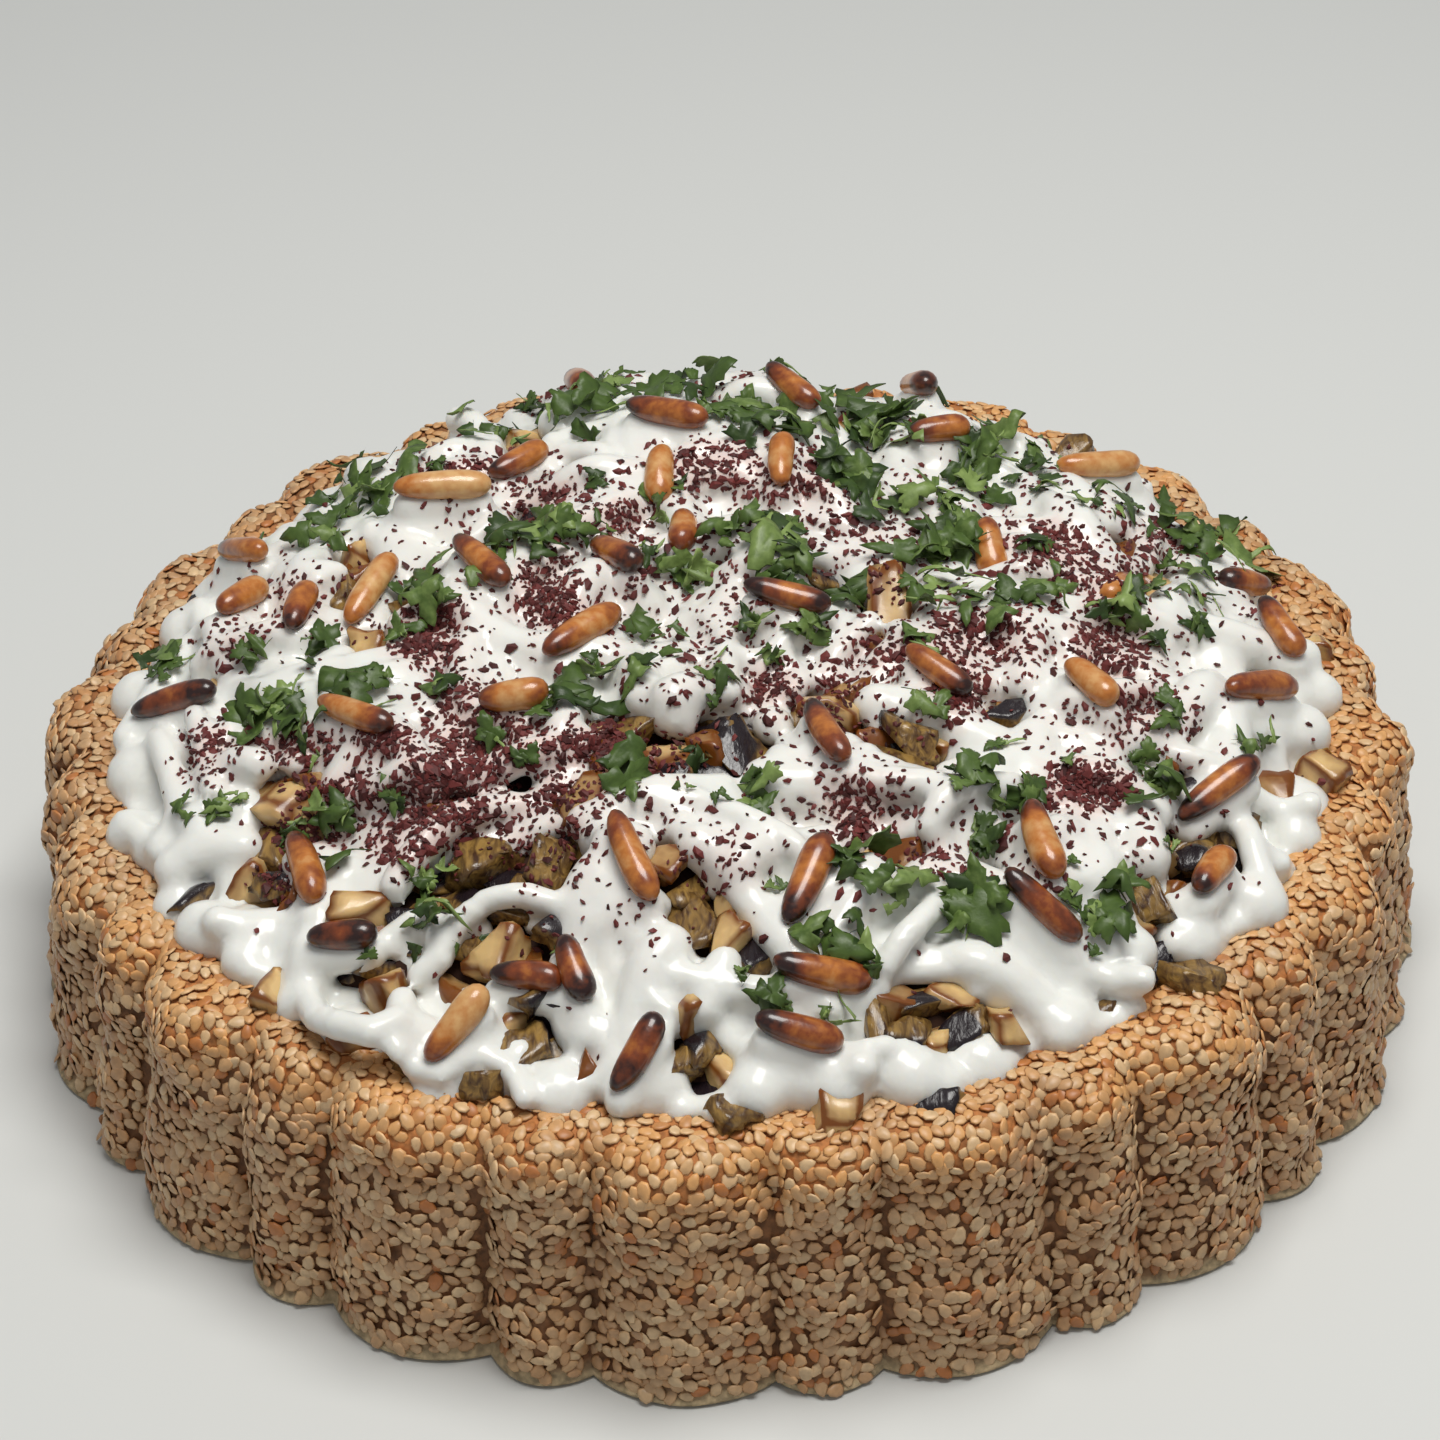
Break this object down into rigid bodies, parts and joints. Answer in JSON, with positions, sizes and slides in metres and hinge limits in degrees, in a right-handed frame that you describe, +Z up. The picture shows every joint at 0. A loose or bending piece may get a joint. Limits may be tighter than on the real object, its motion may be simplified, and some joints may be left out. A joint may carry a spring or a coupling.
{
  "type": "falafel tart",
  "caption": "Round fluted falafel shell coated with sesame, heaped with roast vegetables under yogurt sauce, topped with pine nuts, parsley and sumac.",
  "frame": {"origin": "middle of the flat base, at the bottom centre of the whole tart's box", "axes": "+Z up out of the base, front at -Y, +X to the right seen from the front"},
  "size_m": [0.2594, 0.259, 0.0847],
  "materials": {
    "sesame_crust": "baked falafel coated with sesame seeds",
    "roasted_vegetables": "oily roasted potato and aubergine",
    "yogurt": "thick glossy yogurt sauce",
    "pine_nut": "pine nuts toasted in oil, pale to dark brown",
    "parsley": "fresh chopped parsley leaf"
  },
  "bodies": {
    "root": {"falafel_shell": "sesame_crust", "vegetable_filling": "roasted_vegetables", "yogurt_sauce": "yogurt", "pine_nut_01": "pine_nut", "pine_nut_02": "pine_nut", "pine_nut_03": "pine_nut", "pine_nut_04": "pine_nut", "pine_nut_05": "pine_nut", "pine_nut_06": "pine_nut", "pine_nut_07": "pine_nut", "pine_nut_08": "pine_nut", "pine_nut_09": "pine_nut", "pine_nut_10": "pine_nut", "pine_nut_11": "pine_nut", "pine_nut_12": "pine_nut", "pine_nut_13": "pine_nut", "pine_nut_14": "pine_nut", "pine_nut_15": "pine_nut", "pine_nut_16": "pine_nut", "pine_nut_17": "pine_nut", "pine_nut_18": "pine_nut", "pine_nut_19": "pine_nut", "pine_nut_20": "pine_nut", "pine_nut_21": "pine_nut", "pine_nut_22": "pine_nut", "pine_nut_23": "pine_nut", "pine_nut_24": "pine_nut", "pine_nut_25": "pine_nut", "pine_nut_26": "pine_nut", "pine_nut_27": "pine_nut", "pine_nut_28": "pine_nut", "pine_nut_29": "pine_nut", "pine_nut_30": "pine_nut", "pine_nut_31": "pine_nut", "pine_nut_32": "pine_nut", "pine_nut_33": "pine_nut", "pine_nut_34": "pine_nut", "pine_nut_35": "pine_nut", "pine_nut_36": "pine_nut", "pine_nut_37": "pine_nut", "pine_nut_38": "pine_nut", "pine_nut_39": "pine_nut", "pine_nut_40": "pine_nut", "parsley_01": "parsley", "parsley_02": "parsley", "parsley_03": "parsley", "parsley_04": "parsley", "parsley_05": "parsley", "parsley_06": "parsley", "parsley_07": "parsley", "parsley_08": "parsley", "parsley_09": "parsley", "parsley_10": "parsley", "parsley_11": "parsley", "parsley_12": "parsley", "parsley_13": "parsley", "parsley_14": "parsley", "parsley_15": "parsley", "parsley_16": "parsley", "parsley_17": "parsley"}
  },
  "joints": []
}
